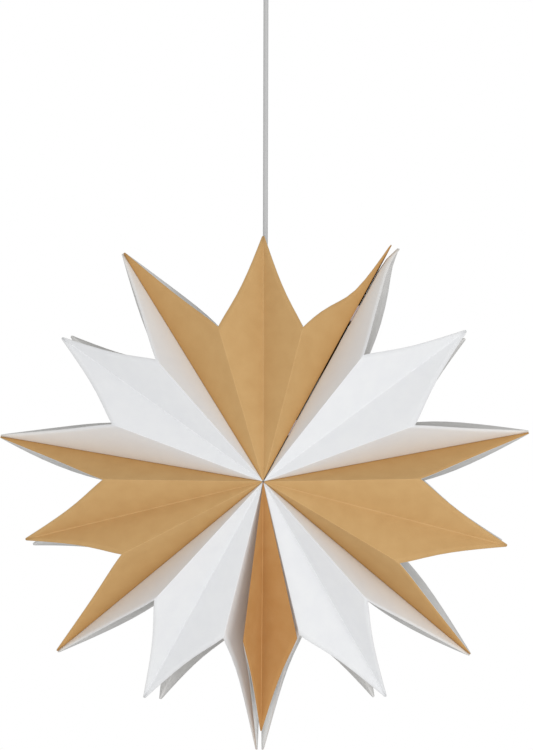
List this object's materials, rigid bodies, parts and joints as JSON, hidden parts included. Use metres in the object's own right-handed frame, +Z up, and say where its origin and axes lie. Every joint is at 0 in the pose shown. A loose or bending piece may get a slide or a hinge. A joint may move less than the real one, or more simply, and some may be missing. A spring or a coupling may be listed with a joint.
{
  "type": "hanging paper star lamp",
  "caption": "Hanging paper star lamp: folded paper sheets in two colours opened in a ring round a lampholder, on a cord from a round ceiling cup.",
  "frame": {"origin": "midway between the strap's two screw holes, in the plane of the ceiling, on the cord's axis", "axes": "+Z up along the cord, the star faces -Y, +X to the right in the picture"},
  "size_m": [0.5926, 0.2028, 0.9207],
  "materials": {
    "gold_paper": "uncoated gold-brown card, matte",
    "white_paper": "uncoated white card, matte",
    "adhesive_pad": "felted hook and loop pad",
    "white_plastic": "moulded, satin",
    "brass_part": "bright",
    "cord_cover": "smooth grey cover round two wires, given the density of rubber",
    "steel_wire": "zinc plated",
    "bulb_base": "drawn",
    "bulb_glass": "opal"
  },
  "bodies": {
    "root": {"gold_top": "gold_paper", "white_upper_right": "white_paper", "gold_right": "gold_paper", "white_lower_right": "white_paper", "gold_bottom": "gold_paper", "white_lower_left": "white_paper", "gold_left": "gold_paper", "white_upper_left": "white_paper", "closure_pad_inner": "adhesive_pad", "closure_pad_outer": "adhesive_pad", "lampholder_cap": "white_plastic", "lampholder_body": "white_plastic", "shade_ring_upper": "white_plastic", "shade_ring_lower": "white_plastic", "contact_shell": "brass_part", "contact_disc": "white_plastic", "centre_contact": "brass_part", "star_carrier": "steel_wire", "bulb_cap": "bulb_base", "bulb_glass": "bulb_glass", "cord": "cord_cover", "ceiling_strap": "steel_wire", "hollow_nipple": "brass_part", "ceiling_cup": "white_plastic", "cord_grip": "white_plastic", "grip_screw": "white_plastic"}
  },
  "joints": []
}
